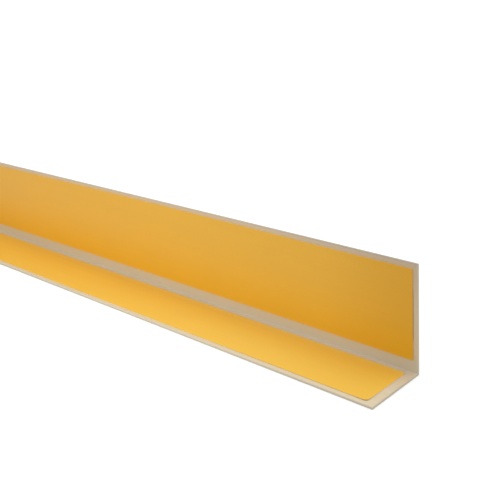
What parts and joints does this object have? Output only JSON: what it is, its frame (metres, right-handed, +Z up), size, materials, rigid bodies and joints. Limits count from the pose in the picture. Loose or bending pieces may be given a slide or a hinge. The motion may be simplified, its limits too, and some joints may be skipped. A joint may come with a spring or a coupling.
{
  "type": "pvc angle profile",
  "caption": "Straight unequal-leg angle in beige rigid PVC, with a yellow-lined adhesive tape along the inner face of each leg.",
  "frame": {"origin": "on the floor, under the middle of the foot's width and of the stock's length", "axes": "+X along the stock, towards the end that faces the viewer; +Y across the foot, towards the upright's outer face; +Z up the upright"},
  "size_m": [1, 0.04, 0.06],
  "materials": {
    "rigid_pvc": "satin",
    "tape_adhesive": "matte",
    "tape_liner": "satin"
  },
  "bodies": {
    "root": {"angle_profile": "rigid_pvc", "adhesive_upright": "tape_adhesive", "adhesive_foot": "tape_adhesive", "liner_upright": "tape_liner", "liner_foot": "tape_liner"}
  },
  "joints": []
}
